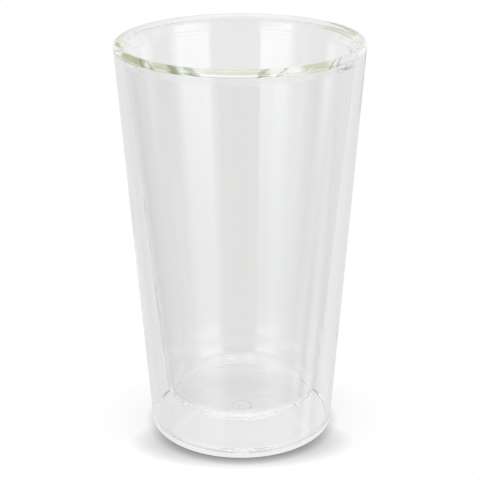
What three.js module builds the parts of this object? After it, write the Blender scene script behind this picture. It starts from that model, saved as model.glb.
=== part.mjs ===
// A double-walled glass tumbler: an outer shell, an inner cup that hangs in it, the fused rim that joins
// the two walls, and the glass drop that seals the vent hole in the base.
// Millimetres, +Z up. The origin is the centre of the standing plane, on the axis of the glass.
import * as THREE from "three";

// Overall sizes: the outer wall is a straight taper, measured at the table and at the height of the lip
const height = 142;
const rimRadius = 42.75;
const footRadius = 32.9;

// Outer shell
const outerWall = 1.6;
const outerFloor = 2.2;
const heelRadius = 0.9;
const insideHeelRadius = 2;
const ringInnerRadius = 24.5;
const ringBlend = 40;
const pushUp = 1.6;
const pushUpRadius = 10;
const pushUpBlend = 100;

// Inner cup, placed by the air space that is left round it
const airGapBelow = 5.9;
const airGapAtFoot = 5;
const airGapAtFlare = 1.85;
const innerWall = 1.6;
const innerFloor = 2.2;
const innerCornerRadius = 7.5;
const innerFloorRadius = 5.6;

// Flared top of the inner cup, which leads out to the lip
const flareDrop = 4.7;
const flareAngle = THREE.MathUtils.degToRad(28);
const flareRadius = 5;
const flareEdge = 1.25;

// Fused rim: a full round lip on a low band of solid glass, with a small groove over the air space
const lipRadius = 1.45;
const lipFlat = 0.03;
const rimHeight = 2.3;
const grooveDepth = 0.45;
const grooveRadius = 0.28;

// Vent hole in the base and the drop that seals it
const ventRadius = 1.8;
const sealClearance = 0.3;
const sealHeadRadius = 3.4;
const sealHeadHeight = 0.9;
const sealProud = 0.6;

// Facets: turns of the revolved walls and of the small seal, and the steps along a rounded corner
const wallTurns = 72;
const sealTurns = 32;
const arcStep = THREE.MathUtils.degToRad(18);
const fewestArcSteps = 2;

// Glass
const clearGlass = { color: 0xf4f7f4, opacity: 0.35 };
const rimGlass = { color: 0xd5dcbc, opacity: 0.5 };
const polish = 0.03;

// The rim is fused on where both walls end
const weldZ = height - rimHeight;

// Radius of the outer shell's outside face at a height
function outerRadiusAt(z) {
  return THREE.MathUtils.mapLinear(z, 0, height, footRadius, rimRadius);
}

// Inner cup's outside face below the flare, worked out from the shell and the air space
const floorTopZ = pushUp + outerFloor;
const cupBottomZ = floorTopZ + airGapBelow;
const cupFloorZ = cupBottomZ + innerFloor;
const flareZ = weldZ - flareDrop;
const cupFootRadius = outerRadiusAt(cupBottomZ) - outerWall - airGapAtFoot;
const cupFlareRadius = outerRadiusAt(flareZ) - outerWall - airGapAtFlare;

function cupRadiusAt(z) {
  return THREE.MathUtils.mapLinear(z, cupBottomZ, flareZ, cupFootRadius, cupFlareRadius);
}

// Inside face of the flare: it touches the round of the lip and leans in below it
const lipZ = height - lipRadius;
const outerSlope = (rimRadius - footRadius) / height;
const lipCentreRadius = outerRadiusAt(lipZ) - lipRadius * Math.hypot(1, outerSlope);

function flareRadiusAt(z) {
  return lipCentreRadius - lipRadius / Math.cos(flareAngle) + (z - lipZ) * Math.tan(flareAngle);
}

// Height where the flare's inside face would meet the straight inside face of the cup
const cupSlope = (cupFlareRadius - cupFootRadius) / (flareZ - cupBottomZ);
const flareStep = cupRadiusAt(flareZ) - innerWall - flareRadiusAt(flareZ);
const bendZ = flareZ + flareStep / (Math.tan(flareAngle) - cupSlope);
const bendRadius = cupRadiusAt(bendZ);

// Where the two walls end under the rim
const shellEdge = { outside: outerRadiusAt(weldZ), inside: outerRadiusAt(weldZ) - outerWall };
const cupEdge = { outside: flareRadiusAt(weldZ) + flareEdge, inside: flareRadiusAt(weldZ) };

// A corner of a section: its radius from the axis, its height, and how far it is rounded
function corner(r, z, round = 0) {
  return { point: new THREE.Vector2(r, z), round };
}

// The points that stand for one corner: itself if it is sharp, or the arc that touches both its sides
function cornerPoints(before, here, after) {
  if (here.round === 0) {
    return [here.point];
  }
  const toBefore = before.point.clone().sub(here.point).normalize();
  const toAfter = after.point.clone().sub(here.point).normalize();
  const halfAngle = Math.acos(toBefore.dot(toAfter)) / 2;
  const bisector = toBefore.clone().add(toAfter).normalize();
  const centre = here.point.clone().addScaledVector(bisector, here.round / Math.sin(halfAngle));
  const reach = here.round / Math.tan(halfAngle);
  const first = here.point.clone().addScaledVector(toBefore, reach).sub(centre);
  const last = here.point.clone().addScaledVector(toAfter, reach).sub(centre);
  const sweep = Math.atan2(first.cross(last), first.dot(last));
  const steps = Math.max(fewestArcSteps, Math.ceil(Math.abs(sweep) / arcStep));
  const points = [];
  for (let step = 0; step <= steps; step++) {
    const turn = (sweep * step) / steps;
    points.push(first.clone().rotateAround(new THREE.Vector2(), turn).add(centre));
  }
  return points;
}

// A section's corners, in order, turned into a closed profile or into one that starts and ends on the axis
function sectionPoints(corners, closed) {
  const count = corners.length;
  const points = corners.flatMap((here, index) =>
    cornerPoints(corners[(index + count - 1) % count], here, corners[(index + 1) % count]),
  );
  if (closed) {
    points.push(points[0].clone());
  }
  return points;
}

// A glass piece: its section revolved about +Z
function revolvedGlass(name, corners, { closed, turns, glass }) {
  const geometry = new THREE.LatheGeometry(sectionPoints(corners, closed), turns);
  geometry.rotateX(Math.PI / 2);
  const material = new THREE.MeshStandardMaterial({
    ...glass,
    roughness: polish,
    metalness: 0,
    transparent: true,
  });
  const mesh = new THREE.Mesh(geometry, material);
  mesh.name = name;
  return mesh;
}

// Outer shell: underside from the vent hole outwards, up the outside, over the welded edge and down inside.
// Its floor follows the push-up, so the standing ring is the only part that touches the table.
function makeOuterShell() {
  const corners = [
    corner(ventRadius, pushUp),
    corner(pushUpRadius, pushUp, pushUpBlend),
    corner(ringInnerRadius, 0, ringBlend),
    corner(footRadius, 0, heelRadius),
    corner(shellEdge.outside, weldZ),
    corner(shellEdge.inside, weldZ),
    corner(outerRadiusAt(outerFloor) - outerWall, outerFloor, insideHeelRadius),
    corner(ringInnerRadius, outerFloor, ringBlend),
    corner(pushUpRadius, floorTopZ, pushUpBlend),
    corner(ventRadius, floorTopZ),
  ];
  return revolvedGlass("outer_shell", corners, { closed: true, turns: wallTurns, glass: clearGlass });
}

// Inner cup: from the axis under its bottom, up the outside and the flare, over the welded edge, and down
// inside to its floor
function makeInnerCup() {
  const corners = [
    corner(0, cupBottomZ),
    corner(cupFootRadius, cupBottomZ, innerCornerRadius),
    corner(bendRadius, bendZ, flareRadius),
    corner(cupEdge.outside, weldZ),
    corner(cupEdge.inside, weldZ),
    corner(bendRadius - innerWall, bendZ, flareRadius),
    corner(cupRadiusAt(cupFloorZ) - innerWall, cupFloorZ, innerFloorRadius),
    corner(0, cupFloorZ),
  ];
  return revolvedGlass("inner_cup", corners, { closed: false, turns: wallTurns, glass: clearGlass });
}

// Fused rim: stands on both walls' edges, bridges the air space and is fully round on top
function makeFusedRim() {
  const lipRound = lipRadius - lipFlat;
  const grooveZ = weldZ + grooveDepth;
  const corners = [
    corner(shellEdge.outside, weldZ),
    corner(rimRadius, height, lipRound),
    corner(flareRadiusAt(height), height, lipRound),
    corner(cupEdge.inside, weldZ),
    corner(cupEdge.outside, weldZ),
    corner(cupEdge.outside, grooveZ, grooveRadius),
    corner(shellEdge.inside, grooveZ, grooveRadius),
    corner(shellEdge.inside, weldZ),
  ];
  return revolvedGlass("fused_rim", corners, { closed: true, turns: wallTurns, glass: rimGlass });
}

// Vent seal: a head melted against the underside of the push-up, and a stem through the hole
function makeVentSeal() {
  const stemRadius = ventRadius - sealClearance;
  const headZ = pushUp - sealHeadHeight;
  const stemTopZ = floorTopZ + sealProud;
  const corners = [
    corner(0, headZ),
    corner(sealHeadRadius, headZ, sealHeadHeight / 2),
    corner(sealHeadRadius, pushUp),
    corner(stemRadius, pushUp),
    corner(stemRadius, stemTopZ, sealProud),
    corner(0, stemTopZ),
  ];
  return revolvedGlass("vent_seal", corners, { closed: false, turns: sealTurns, glass: clearGlass });
}

const tumbler = new THREE.Group();
tumbler.add(makeOuterShell(), makeInnerCup(), makeFusedRim(), makeVentSeal());

export default tumbler;
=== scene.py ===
import math

import bpy
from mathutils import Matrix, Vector


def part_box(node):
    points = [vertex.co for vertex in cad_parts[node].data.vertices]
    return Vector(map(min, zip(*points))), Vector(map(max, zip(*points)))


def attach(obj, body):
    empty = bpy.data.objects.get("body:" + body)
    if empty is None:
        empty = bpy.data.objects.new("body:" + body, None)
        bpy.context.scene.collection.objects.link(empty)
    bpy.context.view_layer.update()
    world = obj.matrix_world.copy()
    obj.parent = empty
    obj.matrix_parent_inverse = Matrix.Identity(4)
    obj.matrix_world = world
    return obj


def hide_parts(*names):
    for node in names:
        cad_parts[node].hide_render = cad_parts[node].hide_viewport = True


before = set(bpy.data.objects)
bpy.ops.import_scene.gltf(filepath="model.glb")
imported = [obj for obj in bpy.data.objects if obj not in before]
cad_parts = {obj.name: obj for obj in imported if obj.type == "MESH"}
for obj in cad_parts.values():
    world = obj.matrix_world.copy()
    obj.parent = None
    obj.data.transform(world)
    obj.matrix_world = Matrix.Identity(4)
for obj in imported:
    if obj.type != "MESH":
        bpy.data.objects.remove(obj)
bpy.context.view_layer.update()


# Outer shell
# The outside wall, blown from clear borosilicate glass: a straight taper on a small rounded heel, a flat ring
# to stand on, and a shallow push-up with a vent hole in its middle. Its top edge is melted into the rim.
shell_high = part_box("outer_shell")[1]
seal_low, seal_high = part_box("vent_seal")
foot_radius = 0.0329
shell_wall = 0.0016
shell_floor = 0.0022
heel_radius = 0.0009
inside_heel_radius = 0.002
ring_inner_radius = 0.0245
ring_blend = 0.04
push_up = 0.0016
push_up_radius = 0.010
push_up_blend = 0.1
vent_radius = 0.0018
# Fineness of the meshes
turn_steps = 256
arc_step = math.radians(4)
fewest_arc_steps = 4
smooth_below = math.radians(30)
same_place = 1e-6
facet_slack = 0.01

weld_height = shell_high.z
shell_slope = (shell_high.x - foot_radius) / weld_height
shell_inside_radius = shell_high.x - shell_wall
shell_floor_top = push_up + shell_floor
seal_head_radius = seal_high.x


def shell_radius_at(height):
    """Radius of the outer shell's outside face."""
    return foot_radius + shell_slope * height


def draw_line(pen, end):
    """Extrudes the selected vertex straight to end, and moves the pen there."""
    step = end - pen
    bpy.ops.mesh.extrude_region_move(TRANSFORM_OT_translate={"value": (step.x, 0, step.y)})
    pen.xy = end


def draw_corner(pen, before, corner, after, rounding):
    """Draws straight up to a corner and then, if it is rounded, the arc that touches both its sides."""
    if rounding == 0:
        draw_line(pen, corner)
        return
    to_before = (before - corner).normalized()
    to_after = (after - corner).normalized()
    half_angle = to_before.angle(to_after) / 2
    reach = rounding / math.tan(half_angle)
    centre = corner + (to_before + to_after).normalized() * rounding / math.sin(half_angle)
    first = corner + to_before * reach
    last = corner + to_after * reach
    if (first - pen).length > same_place:
        draw_line(pen, first)
    sweep = (last - centre).angle_signed(first - centre)
    bpy.ops.mesh.spin(
        steps=max(fewest_arc_steps, math.ceil(abs(sweep) / arc_step)),
        angle=sweep,
        center=(centre.x, 0, centre.y),
        axis=(0, 1, 0),
    )
    pen.xy = last


def turn_section(name, corners, closed):
    """Draws a section of (radius, height, rounding) corners in the XZ plane and turns it about the axis."""
    points = [Vector((radius, height)) for radius, height, rounding in corners]
    roundings = [rounding for radius, height, rounding in corners]
    bpy.ops.object.select_all(action="DESELECT")
    bpy.ops.mesh.primitive_plane_add(size=shell_wall)
    piece = bpy.context.object
    piece.name = name
    piece.data.name = name
    bpy.ops.object.mode_set(mode="EDIT")
    bpy.ops.mesh.merge(type="CENTER")
    bpy.ops.transform.translate(value=(points[0].x, 0, points[0].y))
    pen = points[0].copy()
    around = points + points[:2]
    for index in range(1, len(points)):
        draw_corner(pen, around[index - 1], around[index], around[index + 1], roundings[index])
    if closed:
        draw_line(pen, points[0])
    bpy.ops.mesh.select_all(action="SELECT")
    bpy.ops.mesh.spin(steps=turn_steps, angle=math.tau, center=(0, 0, 0), axis=(0, 0, 1))
    bpy.ops.mesh.select_all(action="SELECT")
    bpy.ops.mesh.remove_doubles(threshold=same_place)
    bpy.ops.mesh.normals_make_consistent(inside=False)
    bpy.ops.object.mode_set(mode="OBJECT")
    bpy.ops.object.shade_smooth_by_angle(angle=smooth_below)
    bpy.ops.object.modifier_add(type="WEIGHTED_NORMAL")
    piece.modifiers[-1].keep_sharp = True
    bpy.ops.object.modifier_apply(modifier=piece.modifiers[-1].name)
    return piece


def add_node(tree, kind, **inputs):
    """A node with its inputs set by name: a socket is linked, and a value is written into the socket."""
    node = tree.nodes.new(kind)
    for name, value in inputs.items():
        target = node.inputs[name.replace("_", " ")]
        if isinstance(value, bpy.types.NodeSocket):
            tree.links.new(value, target)
        else:
            target.default_value = value
    return node


def new_material(name):
    """A new material, with its node tree and its Principled shader."""
    material = bpy.data.materials.new(name)
    material.use_nodes = True
    return material, material.node_tree, material.node_tree.nodes["Principled BSDF"]


def math_node(tree, operation, first, second=0):
    """A Math node's result."""
    node = tree.nodes.new("ShaderNodeMath")
    node.operation = operation
    for socket, value in zip(node.inputs, (first, second)):
        if isinstance(value, bpy.types.NodeSocket):
            tree.links.new(value, socket)
        else:
            socket.default_value = value
    return node.outputs["Value"]


def soft_step(tree, value, start, end):
    """Rises smoothly from 0 at start to 1 at end."""
    step = add_node(tree, "ShaderNodeMapRange", Value=value, From_Min=start, From_Max=end)
    step.interpolation_type = "SMOOTHSTEP"
    return step.outputs["Result"]


glass_ior = 1.47
polish = 0.01
wave_draw = 0.35
wave_start = 0.025
wave_full = 0.06
clear_tint = (1, 1, 1, 1)
streak_tint = (0.998, 1, 0.997, 1)

# Waves that blowing leaves in the glass, drawn out along the axis and gone towards the base, and streaks for
# a faint tint
blown_waves = bpy.data.node_groups.new("blown_glass_waves", "ShaderNodeTree")
blown_waves.interface.new_socket(name="Waves per metre", in_out="INPUT", socket_type="NodeSocketFloat")
blown_waves.interface.new_socket(name="Height", in_out="OUTPUT", socket_type="NodeSocketFloat")
blown_waves.interface.new_socket(name="Streaks", in_out="OUTPUT", socket_type="NodeSocketFloat")
given = blown_waves.nodes.new("NodeGroupInput")
result = blown_waves.nodes.new("NodeGroupOutput")
place = add_node(blown_waves, "ShaderNodeTexCoord")
drawn = add_node(blown_waves, "ShaderNodeMapping", Vector=place.outputs["Object"], Scale=(1, 1, wave_draw))
streaks = add_node(
    blown_waves, "ShaderNodeTexNoise",
    Vector=drawn.outputs["Vector"], Scale=given.outputs["Waves per metre"], Detail=3,
)
waves = add_node(
    blown_waves, "ShaderNodeTexNoise",
    Vector=drawn.outputs["Vector"], Scale=given.outputs["Waves per metre"], Detail=0,
)
split = add_node(blown_waves, "ShaderNodeSeparateXYZ", Vector=place.outputs["Object"])
above_base = soft_step(blown_waves, split.outputs["Z"], wave_start, wave_full)
fading = math_node(blown_waves, "MULTIPLY", waves.outputs["Fac"], above_base)
blown_waves.links.new(fading, result.inputs["Height"])
blown_waves.links.new(streaks.outputs["Fac"], result.inputs["Streaks"])


def blown_glass(name, waves_per_metre, wave_height):
    """Clear glass with the waves of blowing in its surface, and the streaks that its tint can follow."""
    material, tree, shader = new_material(name)
    waves = add_node(tree, "ShaderNodeGroup")
    waves.node_tree = blown_waves
    waves.inputs["Waves per metre"].default_value = waves_per_metre
    bump = add_node(tree, "ShaderNodeBump", Height=waves.outputs["Height"], Distance=wave_height, Strength=1)
    tree.links.new(bump.outputs["Normal"], shader.inputs["Normal"])
    shader.inputs["Roughness"].default_value = polish
    shader.inputs["IOR"].default_value = glass_ior
    shader.inputs["Transmission Weight"].default_value = 1
    return material, tree, shader, waves.outputs["Streaks"]


# A face where two pieces are melted together has no surface of its own
melted_face, tree, shader = new_material("melted_face")
tree.nodes.remove(shader)
melted_through = add_node(tree, "ShaderNodeBsdfTransparent", Color=(1, 1, 1, 1))
tree.links.new(melted_through.outputs["BSDF"], tree.nodes["Material Output"].inputs["Surface"])


def finish_faces(piece, material, is_chosen):
    """Gives the faces that a test chooses by their place another finish."""
    piece.data.materials.append(material)
    for face in piece.data.polygons:
        if is_chosen(face):
            face.material_index = len(piece.data.materials) - 1


def on_weld(face):
    """True for the flat faces where a wall and the rim are melted together."""
    return abs(face.center.z - weld_height) < same_place


def on_vent(face):
    """True for the faces of the vent hole and of the push-up round it that the seal is melted to."""
    radius = math.hypot(face.center.x, face.center.y)
    in_hole = abs(radius / vent_radius - 1) < facet_slack and push_up < face.center.z < shell_floor_top
    on_push_up = vent_radius < radius < seal_head_radius and abs(face.center.z - push_up) < same_place
    return in_hole or on_push_up


clear_glass, tree, shader, streaks = blown_glass("clear_glass", waves_per_metre=45, wave_height=0.0002)
tint = add_node(tree, "ShaderNodeMixRGB", Fac=streaks, Color1=clear_tint, Color2=streak_tint)
tree.links.new(tint.outputs["Color"], shader.inputs["Base Color"])
outer_shell = turn_section(
    "outer_shell_glass",
    [
        (vent_radius, push_up, 0),
        (seal_head_radius, push_up, 0),
        (push_up_radius, push_up, push_up_blend),
        (ring_inner_radius, 0, ring_blend),
        (foot_radius, 0, heel_radius),
        (shell_high.x, weld_height, 0),
        (shell_inside_radius, weld_height, 0),
        (shell_radius_at(shell_floor) - shell_wall, shell_floor, inside_heel_radius),
        (ring_inner_radius, shell_floor, ring_blend),
        (push_up_radius, shell_floor_top, push_up_blend),
        (vent_radius, shell_floor_top, 0),
    ],
    closed=True,
)
outer_shell.data.materials.append(clear_glass)
finish_faces(outer_shell, melted_face, lambda face: on_weld(face) or on_vent(face))
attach(outer_shell, "root")
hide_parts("outer_shell")


# Inner cup
# The liner that holds the drink, blown from the same glass: a straight taper with a rounded bottom corner.
# It hangs in the shell with air all round it, and flares at the top to reach the rim, where it is melted on.
cup_low, cup_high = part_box("inner_cup")
rim_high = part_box("fused_rim")[1]
cup_wall = 0.0016
cup_floor = 0.0022
cup_corner_radius = 0.0075
cup_floor_radius = 0.0056
air_gap_at_foot = 0.005
air_gap_at_flare = 0.00185
flare_drop = 0.0047
flare_angle = math.radians(28)
flare_radius = 0.005
lip_radius = 0.00145

cup_floor_top = cup_low.z + cup_floor
flare_height = weld_height - flare_drop
cup_foot_radius = shell_radius_at(cup_low.z) - shell_wall - air_gap_at_foot
cup_flare_radius = shell_radius_at(flare_height) - shell_wall - air_gap_at_flare
cup_slope = (cup_flare_radius - cup_foot_radius) / (flare_height - cup_low.z)
lip_height = rim_high.z - lip_radius
lip_centre_radius = shell_radius_at(lip_height) - lip_radius * math.hypot(1, shell_slope)
flare_slope = math.tan(flare_angle)


def cup_radius_at(height):
    """Radius of the inner cup's outside face, below the flare."""
    return cup_foot_radius + cup_slope * (height - cup_low.z)


def flare_radius_at(height):
    """Radius of the flare's inside face, which touches the round of the lip."""
    return lip_centre_radius - lip_radius / math.cos(flare_angle) + flare_slope * (height - lip_height)


mouth_radius = flare_radius_at(weld_height)
flare_step = cup_flare_radius - cup_wall - flare_radius_at(flare_height)
bend_height = flare_height + flare_step / (flare_slope - cup_slope)
bend_radius = cup_radius_at(bend_height)
inner_cup = turn_section(
    "inner_cup_glass",
    [
        (0, cup_low.z, 0),
        (cup_foot_radius, cup_low.z, cup_corner_radius),
        (bend_radius, bend_height, flare_radius),
        (cup_high.x, weld_height, 0),
        (mouth_radius, weld_height, 0),
        (bend_radius - cup_wall, bend_height, flare_radius),
        (cup_radius_at(cup_floor_top) - cup_wall, cup_floor_top, cup_floor_radius),
        (0, cup_floor_top, 0),
    ],
    closed=False,
)
inner_cup.data.materials.append(clear_glass)
finish_faces(inner_cup, melted_face, on_weld)
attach(inner_cup, "root")
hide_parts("inner_cup")


# Fused rim
# The drinking edge: both walls are melted together in the flame into one round lip of the same glass, which
# bridges the air space. Seen from above, the depth of the glass shows in stretches of yellow and green; the
# white stretches are painted highlights, and thin dark streaks on the lip are painted reflections.
lip_flat = 0.00003
groove_depth = 0.00045
groove_radius = 0.0004
melt_roughness = 0.6
# Colours of the melt: white for painted highlights, clear glass, and thicker glass from pale yellow to deep
# green
melt_highlight_white = (0.985, 0.99, 0.96, 1)
melt_clear = (0.88, 0.88, 0.875, 1)
melt_pale = (0.82, 0.84, 0.72, 1)
melt_olive = (0.68, 0.71, 0.55, 1)
melt_green = (0.50, 0.56, 0.36, 1)
# Its colour for light that was mirrored to and fro in a wall before it came to the rim
wall_light = (0.93, 0.93, 0.925, 1)
turns_in_wall = 3
# The melt's tint and its painted highlights along the rim: bearing from the front in degrees, and the colour
# from there on
melt_and_highlight_stretches = [
    (-180, melt_clear), (-106, melt_pale), (-87, melt_green), (-48, melt_highlight_white), (-44, melt_olive),
    (-29, melt_highlight_white), (-16, melt_pale), (10, melt_highlight_white), (29, melt_olive), (44, melt_highlight_white),
    (51, melt_clear), (104, melt_olive), (132, melt_clear),
]
melt_blend = 3.5
# Painted reflections: thin dark green streaks in the lip's tint that stand in for dark surroundings seen in
# it.
# They lean over the lip, more so away from the front, and wander a little
lip_tint = (1, 1, 1, 1)
lip_dark_reflection = (0.45, 0.50, 0.38, 1)
dark_reflection_lean = 1500
full_lean_from = 12
dark_reflection_wander = 2
wanders_per_degree = 0.5
noise_middle = 0.5
# The bearings in degrees between which each painted reflection streak runs
lip_dark_reflections = [
    (-50, -48), (-44.5, -42.5), (-33, -29.5), (-24, -20.5), (7.5, 11), (17.5, 19), (43, 45), (47.5, 49),
]

lip_round = lip_radius - lip_flat
groove_height = weld_height + groove_depth
fused_rim = turn_section(
    "fused_rim_glass",
    [
        (shell_high.x, weld_height, 0),
        (shell_radius_at(rim_high.z), rim_high.z, lip_round),
        (flare_radius_at(rim_high.z), rim_high.z, lip_round),
        (mouth_radius, weld_height, 0),
        (cup_high.x, weld_height, 0),
        (cup_high.x, groove_height, groove_radius),
        (shell_inside_radius, groove_height, groove_radius),
        (shell_inside_radius, weld_height, 0),
    ],
    closed=True,
)


def bearing_of(tree, vector):
    """Bearing of a point or direction round the axis in degrees, 0 at the front and rising to the right."""
    split = add_node(tree, "ShaderNodeSeparateXYZ", Vector=vector)
    ahead = math_node(tree, "MULTIPLY", split.outputs["Y"], -1)
    return math_node(tree, "DEGREES", math_node(tree, "ARCTAN2", split.outputs["X"], ahead))


def colour_ramp(tree, value, stops, interpolation="LINEAR"):
    """A colour ramp with its stops given as (position, colour)."""
    ramp = add_node(tree, "ShaderNodeValToRGB", Fac=value)
    ramp.color_ramp.interpolation = interpolation
    elements = ramp.color_ramp.elements
    elements.remove(elements[1])
    elements[0].position, elements[0].color = stops[0]
    for position, colour in stops[1:]:
        elements.new(position).color = colour
    return ramp.outputs["Color"]


def turned_back(tree, path, least_turns):
    """A mask for rays that were mirrored or scattered at least so often, passes through glass not counted."""
    turns = math_node(tree, "SUBTRACT", path["Ray Depth"], path["Transmission Depth"])
    return math_node(tree, "GREATER_THAN", turns, least_turns - 1)


def along_rim(tree, place, stops, interpolation):
    """A colour that changes at bearings round the axis, given in degrees."""
    share_of_turn = math_node(tree, "DIVIDE", math_node(tree, "ADD", place, 180), 360)
    places = [((degrees + 180) / 360, colour) for degrees, colour in stops]
    return colour_ramp(tree, share_of_turn, places, interpolation)


rim_glass, tree, shader = blown_glass("rim_glass", waves_per_metre=160, wave_height=0.0001)[:3]
place = add_node(tree, "ShaderNodeTexCoord").outputs["Object"]
bearing = bearing_of(tree, place)
split = add_node(tree, "ShaderNodeSeparateXYZ", Vector=place)
flat_place = add_node(tree, "ShaderNodeCombineXYZ", X=split.outputs["X"], Y=split.outputs["Y"])
radius = add_node(tree, "ShaderNodeVectorMath", Vector=flat_place.outputs["Vector"])
radius.operation = "LENGTH"
outwards = math_node(tree, "SUBTRACT", radius.outputs["Value"], lip_centre_radius)
upwards = math_node(tree, "SUBTRACT", split.outputs["Z"], lip_height)
over_lip = math_node(tree, "SUBTRACT", outwards, upwards)
to_side = math_node(tree, "DIVIDE", bearing, full_lean_from)
to_side = math_node(tree, "MAXIMUM", math_node(tree, "MINIMUM", to_side, 1), -1)
lean = math_node(tree, "MULTIPLY", math_node(tree, "MULTIPLY", over_lip, dark_reflection_lean), to_side)
wander = add_node(tree, "ShaderNodeTexNoise", Scale=wanders_per_degree, Detail=2)
wander.noise_dimensions = "1D"
tree.links.new(bearing, wander.inputs["W"])
shift = math_node(tree, "SUBTRACT", wander.outputs["Fac"], noise_middle)
shift = math_node(tree, "MULTIPLY", shift, dark_reflection_wander)
leaning = math_node(tree, "ADD", math_node(tree, "ADD", bearing, lean), shift)
dark_reflection_ends = [(-180, lip_tint)]
for start, end in lip_dark_reflections:
    dark_reflection_ends += [(start, lip_dark_reflection), (end, lip_tint)]
tree.links.new(along_rim(tree, leaning, dark_reflection_ends, "CONSTANT"), shader.inputs["Base Color"])

# The melted faces take the melt's tint along the rim, with white stretches that are painted highlights
melt_and_highlights, tree, shader = new_material("rim_melt_and_highlights")
bearing = bearing_of(tree, add_node(tree, "ShaderNodeTexCoord").outputs["Object"])
melt_and_highlight_ends = melt_and_highlight_stretches[:1]
for start, colour in melt_and_highlight_stretches[1:]:
    colour_before = melt_and_highlight_ends[-1][1]
    melt_and_highlight_ends += [(start - melt_blend / 2, colour_before), (start + melt_blend / 2, colour)]
melt_and_highlight_shade = along_rim(tree, bearing, melt_and_highlight_ends, "LINEAR")
from_wall = turned_back(tree, add_node(tree, "ShaderNodeLightPath").outputs, least_turns=turns_in_wall)
melt_and_highlight_colour = add_node(tree, "ShaderNodeMixRGB", Fac=from_wall, Color1=melt_and_highlight_shade, Color2=wall_light)
tree.links.new(melt_and_highlight_colour.outputs["Color"], shader.inputs["Base Color"])
shader.inputs["Roughness"].default_value = melt_roughness
shader.inputs["Specular IOR Level"].default_value = 0
from_inside = add_node(tree, "ShaderNodeNewGeometry").outputs["Backfacing"]
melted_through = add_node(tree, "ShaderNodeBsdfTransparent", Color=(1, 1, 1, 1))
melt_seen = add_node(tree, "ShaderNodeMixShader", Fac=from_inside)
tree.links.new(melted_through.outputs["BSDF"], melt_seen.inputs[1])
tree.links.new(shader.outputs["BSDF"], melt_seen.inputs[2])
tree.links.new(melt_seen.outputs["Shader"], tree.nodes["Material Output"].inputs["Surface"])
fused_rim.data.materials.append(rim_glass)
finish_faces(fused_rim, melt_and_highlights, on_weld)
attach(fused_rim, "root")
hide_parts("fused_rim")


# Vent seal
# A small drop of the same glass, melted into the vent hole from below once the hot air is out.
# It sits inside the push-up, so the glass never stands on it.
seal_head_round = 0.00045
seal_top_round = 0.0006
vent_seal = turn_section(
    "vent_seal_glass",
    [
        (0, seal_low.z, 0),
        (seal_head_radius, seal_low.z, seal_head_round),
        (seal_head_radius, push_up, 0),
        (vent_radius, push_up, 0),
        (vent_radius, shell_floor_top, 0),
        (vent_radius, seal_high.z, seal_top_round),
        (0, seal_high.z, 0),
    ],
    closed=False,
)
vent_seal.data.materials.append(clear_glass)
finish_faces(vent_seal, melted_face, on_vent)
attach(vent_seal, "root")
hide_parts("vent_seal")


# Table
# A plain white table that runs out of view, with the soft shadow of the glass round its foot.
# Seen straight through the glass it is pale grey, and in reflections the studio's lower half takes its place.
table_width = 20
table_through = (0.88, 0.88, 0.874, 1)
# The painted contact shadow, a dark line where the foot touches the table, looked for in a direction that
# leans to the back
contact_reach = 0.0057
contact_lean = math.radians(34)
contact_dark = 0.36
contact_closed = 0.05
contact_open = 0.83

bpy.ops.object.select_all(action="DESELECT")
bpy.ops.mesh.primitive_plane_add(size=table_width)
table = bpy.context.object
table.name = "table"


def shadow_pool(tree, centre, half_width, half_depth, core, darkest):
    """A soft oval pool of shadow on the table: darkest inside its core, and gone at its edge."""
    place = add_node(tree, "ShaderNodeTexCoord")
    oval = add_node(
        tree, "ShaderNodeMapping",
        Vector=place.outputs["Object"], Location=(0, centre, 0), Scale=(half_width, half_depth, 1),
    )
    oval.vector_type = "TEXTURE"
    from_centre = add_node(tree, "ShaderNodeVectorMath", Vector=oval.outputs["Vector"])
    from_centre.operation = "LENGTH"
    level = add_node(
        tree, "ShaderNodeMapRange",
        Value=from_centre.outputs["Value"], From_Min=core, From_Max=1, To_Min=darkest,
    )
    return level.outputs["Result"]


white_table, tree, shader = new_material("white_table")
tree.nodes.remove(shader)
path = add_node(tree, "ShaderNodeLightPath").outputs
mirrored = turned_back(tree, path, least_turns=1)
lean = add_node(tree, "ShaderNodeCombineXYZ", Y=math.cos(contact_lean), Z=math.sin(contact_lean))
nearby = add_node(
    tree, "ShaderNodeAmbientOcclusion", Distance=contact_reach, Normal=lean.outputs["Vector"]
)
contact = add_node(
    tree, "ShaderNodeMapRange",
    Value=nearby.outputs["AO"], From_Min=contact_closed, From_Max=contact_open, To_Min=contact_dark,
)
# One pool of shadow lies in front of the foot, and a wide and faint one all round it
front_pool = shadow_pool(tree, centre=-0.0201, half_width=0.0405, half_depth=0.02, core=0.6, darkest=0.55)
wide_pool = shadow_pool(tree, centre=0, half_width=0.054, half_depth=0.04, core=0.62, darkest=0.93)
shadow = math_node(tree, "MULTIPLY", front_pool, wide_pool)
shadow = math_node(tree, "MULTIPLY", shadow, contact.outputs["Result"])
table_colour = add_node(
    tree, "ShaderNodeMixRGB", Fac=path["Is Camera Ray"], Color1=table_through, Color2=shadow
)
glow = add_node(tree, "ShaderNodeEmission", Color=table_colour.outputs["Color"], Strength=1)
gone = add_node(tree, "ShaderNodeBsdfTransparent", Color=(1, 1, 1, 1))
seen = add_node(tree, "ShaderNodeMixShader", Fac=mirrored)
tree.links.new(glow.outputs["Emission"], seen.inputs[1])
tree.links.new(gone.outputs["BSDF"], seen.inputs[2])
tree.links.new(seen.outputs["Shader"], tree.nodes["Material Output"].inputs["Surface"])
table.data.materials.append(white_table)


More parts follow.
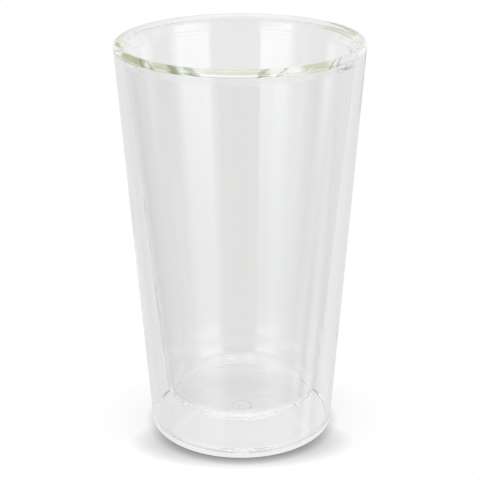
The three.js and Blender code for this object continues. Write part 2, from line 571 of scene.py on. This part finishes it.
# Studio
# A pale room of soft panels round the table: grey card in front between two tall lights, dimmer grey at the
# left, and a ceiling that is brighter at the back and has small lights in it. The panels show only where the
# glass mirrors them: straight through it the room is pale grey, and past it plain white.
white = (1, 1, 1, 1)
pale_grey = (0.88, 0.88, 0.88, 1)
side_grey = (0.78, 0.78, 0.78, 1)
upper_grey = (0.66, 0.66, 0.66, 1)
left_grey = (0.45, 0.45, 0.45, 1)
dim_grey = (0.56, 0.56, 0.56, 1)
card_grey = (0.34, 0.34, 0.34, 1)
front_grey = (0.5, 0.5, 0.5, 1)
ceiling_grey = (0.9, 0.9, 0.9, 1)
ceiling_white = (2.6, 2.6, 2.6, 1)
edge_light = (0.85, 0.85, 0.85, 1)
side_light = (1.15, 1.15, 1.15, 1)
window_light = (3.5, 3.5, 3.5, 1)
top_light = (4.5, 4.5, 4.5, 1)
# Places of panels in degrees: a bearing is 0 at the front, and an elevation is 0 at the horizon
all_round = (-200, 200)
past_top = 120
low_card_heights = (-44, 3)
left_light_sides = (-56, -22)
right_light_sides = (32.5, 72)
tall_light_heights = (-80, 60)
# The tall lights fade towards the table: elevation in degrees and level
tall_light_fade = [
    (-90, 0.4), (-40, 0.55), (-13, 0.76), (-10, 1.0), (-5, 1.55), (-1, 2.0), (8, 2.0), (14, 1.0), (52, 0.9),
]
tall_light_tint = (0.97, 0.98, 1.06)

scene = bpy.context.scene
world = bpy.data.worlds.new("studio")
scene.world = world
world.use_nodes = True
tree = world.node_tree
path = add_node(tree, "ShaderNodeLightPath").outputs
mirrored = turned_back(tree, path, least_turns=1)
matt = math_node(tree, "GREATER_THAN", path["Diffuse Depth"], 0)
direction = add_node(tree, "ShaderNodeTexCoord").outputs["Generated"]
bearing = bearing_of(tree, direction)
split = add_node(tree, "ShaderNodeSeparateXYZ", Vector=direction)
elevation = math_node(tree, "DEGREES", math_node(tree, "ARCSINE", split.outputs["Z"]))


def between(tree, value, low, high, low_edge, high_edge):
    """A soft-edged mask that is 1 while value is between low and high."""
    rise = soft_step(tree, value, low - low_edge, low + low_edge)
    fall = soft_step(tree, value, high + high_edge, high - high_edge)
    return math_node(tree, "MULTIPLY", rise, fall)


def hang_panel(surround, colour, sides, heights, side_edges=(6, 6), height_edges=(5, 5)):
    """Lays a soft-edged panel over the surround. Its sides are bearings and its heights elevations."""
    across = between(tree, bearing, *sides, *side_edges)
    upright = between(tree, elevation, *heights, *height_edges)
    cover = math_node(tree, "MULTIPLY", across, upright)
    panel = add_node(tree, "ShaderNodeMixRGB", Fac=cover, Color1=surround, Color2=colour)
    return panel.outputs["Color"]


share_of_height = math_node(tree, "DIVIDE", math_node(tree, "ADD", elevation, 90), 180)
tall_light = colour_ramp(
    tree,
    share_of_height,
    [
        ((degrees + 90) / 180, (*(level * part for part in tall_light_tint), 1))
        for degrees, level in tall_light_fade
    ],
)
# Walls, and the ceiling: grey all round, darker in a strip in front, and bright at the back
surround = hang_panel(pale_grey, side_grey, sides=all_round, heights=(-36, past_top))
surround = hang_panel(surround, upper_grey, sides=all_round, heights=(3, past_top))
surround = hang_panel(surround, left_grey, sides=(-118, -72), heights=(5, 38))
surround = hang_panel(surround, ceiling_grey, sides=all_round, heights=(42, past_top))
surround = hang_panel(surround, front_grey, sides=(-90, 90), heights=(42, 58))
for sides in ((-200, -90), (90, 200)):
    surround = hang_panel(surround, ceiling_white, sides, heights=(66, past_top))
# Cards: a dim one at the left, a low one all along the front, and an upright one between the tall lights
surround = hang_panel(
    surround, dim_grey, sides=(-136, -90), heights=low_card_heights, side_edges=(8, 6), height_edges=(5, 4)
)
surround = hang_panel(
    surround, card_grey, sides=(-118, 112), heights=low_card_heights, side_edges=(12, 14), height_edges=(5, 4)
)
surround = hang_panel(surround, card_grey, sides=(-24, 35), heights=(-5, 50), side_edges=(2, 2))
# Tall lights, crisp towards the card between them, a pale strip at the right, and a bright band on each light
surround = hang_panel(surround, tall_light, left_light_sides, tall_light_heights, side_edges=(6, 1.2))
surround = hang_panel(surround, tall_light, right_light_sides, tall_light_heights, side_edges=(1.2, 6))
surround = hang_panel(surround, edge_light, sides=(86, 100), heights=(-40, -9), side_edges=(4, 4))
for sides in (left_light_sides, right_light_sides):
    surround = hang_panel(
        surround, window_light, sides, heights=(17, 26), side_edges=(3, 3), height_edges=(3, 2)
    )
# Low lights behind the glass on both sides, two lights in the front ceiling, and one straight overhead
for sides in ((-165, -108), (108, 165)):
    surround = hang_panel(surround, side_light, sides, heights=(-9, 12), side_edges=(5, 5))
for sides in ((-50, -20), (28, 55)):
    surround = hang_panel(surround, top_light, sides, heights=(68, 80))
surround = hang_panel(surround, top_light, sides=all_round, heights=(87, past_top), height_edges=(1.5, 5))
# A matt face gets plain white light
surround = add_node(tree, "ShaderNodeMixRGB", Fac=matt, Color1=surround, Color2=white).outputs["Color"]
straight = add_node(
    tree, "ShaderNodeMixRGB", Fac=path["Is Camera Ray"], Color1=pale_grey, Color2=white
)
seen = add_node(
    tree, "ShaderNodeMixRGB", Fac=mirrored, Color1=straight.outputs["Color"], Color2=surround
)
tree.links.new(seen.outputs["Color"], tree.nodes["Background"].inputs["Color"])

# Light is mirrored very many times inside the walls and the lip before it leaves the glass
light_turns = 1000
scene.view_settings.view_transform = "Standard"
scene.cycles.max_bounces = light_turns
scene.cycles.diffuse_bounces = light_turns
scene.cycles.glossy_bounces = light_turns
scene.cycles.transmission_bounces = light_turns
scene.cycles.transparent_max_bounces = light_turns
scene.cycles.blur_glossy = 0


# Camera
# It looks down on the glass from the front, from the photograph's place, and is rolled by a hair as the
# photograph is. The lens and the sensor are in millimetres.
camera_place = (0, -0.4520, 0.2472)
camera_pitch = math.radians(68.55)
camera_roll = math.radians(-0.27)
camera_turn = 0.0007
camera_lens = 102.57
camera_sensor = 36
nearest_seen = 0.01
bpy.ops.object.camera_add(
    location=camera_place,
    rotation=(
        camera_pitch,
        -camera_roll * math.sin(camera_pitch),
        camera_roll * math.cos(camera_pitch) + camera_turn,
    ),
)
camera = bpy.context.object
camera.data.lens = camera_lens
camera.data.sensor_width = camera_sensor
camera.data.clip_start = nearest_seen
scene.camera = camera
